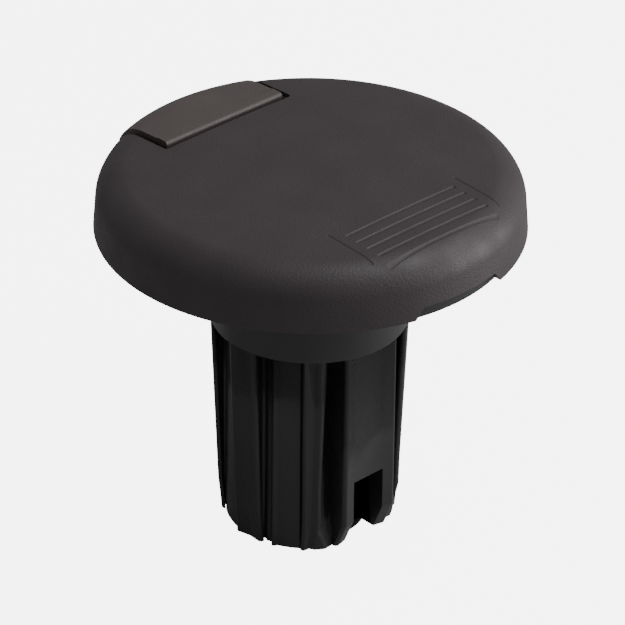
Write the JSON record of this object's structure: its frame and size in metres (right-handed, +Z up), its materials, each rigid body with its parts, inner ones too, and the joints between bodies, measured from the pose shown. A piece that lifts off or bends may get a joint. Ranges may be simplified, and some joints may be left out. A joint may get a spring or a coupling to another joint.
{
  "type": "desk grommet",
  "caption": "Cable grommet with a low domed cap, a spring-shut cable door at its rim and a fluted keyed stem that two swing-out dogs clamp under a desk.",
  "frame": {"origin": "on the stem's axis at the desk surface, which is the underside of the gasket", "axes": "+Z up along the stem's axis, +Y towards the cable door, -Y towards the grooved panel, the pry notch and the flat of the stem"},
  "size_m": [0.108, 0.1078, 0.1016],
  "materials": {
    "cap_plastic": "fine pebble grain, dark warm grey",
    "door_plastic": "fine grain, slightly lighter and browner than the cap",
    "liner_plastic": "satin, moulded",
    "stem_plastic": "semi-gloss, moulded",
    "gasket_rubber": "matt",
    "pad_rubber": "matt",
    "buffer_rubber": "matt",
    "bush_rubber": "matt",
    "nylon": "dark grey nylon",
    "steel": "bright zinc plate",
    "spring_steel": "drawn wire",
    "dark_steel": "black zinc plate",
    "nut_brass": "turned",
    "dog_plastic": "glass-filled nylon"
  },
  "bodies": {
    "liner": {"liner_flange": "liner_plastic", "desk_gasket": "gasket_rubber", "grip_pads": "pad_rubber", "fluted_stem": "stem_plastic", "stem_screws": "steel", "bore_bush": "bush_rubber", "foot_bush": "bush_rubber"},
    "cap": {"cap_shell": "cap_plastic", "door_pin": "steel", "door_spring": "spring_steel", "door_buffers": "buffer_rubber", "hinge_clamps": "liner_plastic", "hinge_screws": "steel"},
    "door": {"cable_door": "door_plastic", "door_bushes": "nylon"},
    "screw_right": {"clamp_screw_right": "dark_steel", "screw_clip_right": "steel"},
    "screw_left": {"clamp_screw_left": "dark_steel", "screw_clip_left": "steel"},
    "nut_right": {"clamp_nut_right": "nut_brass"},
    "nut_left": {"clamp_nut_left": "nut_brass"},
    "dog_right": {"clamp_dog_right": "dog_plastic"},
    "dog_left": {"clamp_dog_left": "dog_plastic"}
  },
  "joints": [
    {"name": "cap_lift", "type": "slide", "parent": "liner", "child": "cap", "axis": [0, 0, 1], "range_m": [0, 0.03]},
    {"name": "door_swing", "type": "hinge", "parent": "cap", "child": "door", "pos_m": [0, 0.0347, 0.01485], "axis": [1, 0, 0], "range_deg": [0, 100], "stiffness_Nm_per_rad": 0.004, "springref_deg": -34.38, "deforming": ["door_spring"]},
    {"name": "screw_right_turn", "type": "hinge", "parent": "liner", "child": "screw_right", "pos_m": [0.0175, 0.0063, 0], "axis": [0, 0, -1], "range_deg": [0, 14760]},
    {"name": "nut_right_climb", "type": "slide", "parent": "liner", "child": "nut_right", "axis": [0, 0, 1], "range_m": [0, 0.041]},
    {"name": "dog_right_swing", "type": "hinge", "parent": "nut_right", "child": "dog_right", "pos_m": [0.0175, 0.0063, 0], "axis": [0, 0, -1], "range_deg": [0, 97]},
    {"name": "screw_left_turn", "type": "hinge", "parent": "liner", "child": "screw_left", "pos_m": [-0.00348, 0.01827, 0], "axis": [0, 0, -1], "range_deg": [0, 14760]},
    {"name": "nut_left_climb", "type": "slide", "parent": "liner", "child": "nut_left", "axis": [0, 0, 1], "range_m": [0, 0.041]},
    {"name": "dog_left_swing", "type": "hinge", "parent": "nut_left", "child": "dog_left", "pos_m": [-0.00348, 0.01827, 0], "axis": [0, 0, -1], "range_deg": [0, 97]}
  ],
  "couplings": [
    {"joint": "screw_right_turn", "follows": "nut_right_climb", "rad_per_m": 6283.2},
    {"joint": "screw_left_turn", "follows": "nut_left_climb", "rad_per_m": 6283.2}
  ]
}
